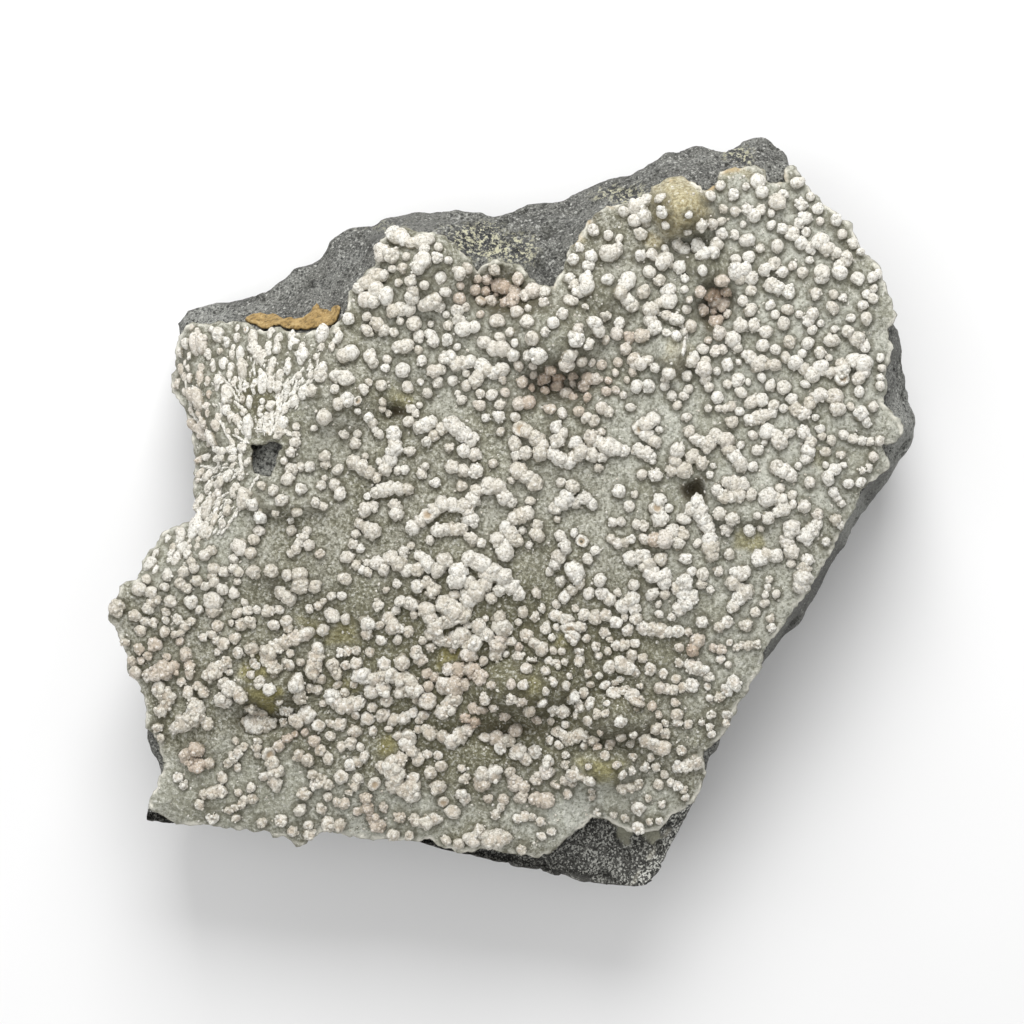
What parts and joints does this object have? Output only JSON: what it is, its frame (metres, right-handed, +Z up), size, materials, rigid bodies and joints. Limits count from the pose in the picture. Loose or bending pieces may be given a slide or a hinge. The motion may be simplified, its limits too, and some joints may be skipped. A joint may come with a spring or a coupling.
{
  "type": "mesolite specimen",
  "caption": "Broken slab of dark basalt lying on its back, its face coated by a thin pale crust with small white balls of mesolite and a seam of ochre clay.",
  "frame": {"origin": "middle of the slab's footprint box, on the surface that it lies on", "axes": "+X along the slab's longest side, +Y towards its broken basalt edge with the clay seam, +Z up out of the mesolite face"},
  "size_m": [0.0997, 0.0928, 0.031],
  "materials": {
    "basalt": "rough broken dark grey basalt with small gas holes",
    "mesolite": "matt white to cream balls on a fine sugary grey-green crust",
    "ochre_clay": "dull crumbly ochre clay"
  },
  "bodies": {
    "root": {"basalt_matrix": "basalt", "mesolite_crust": "mesolite", "ochre_clay_seam": "ochre_clay"}
  },
  "joints": []
}
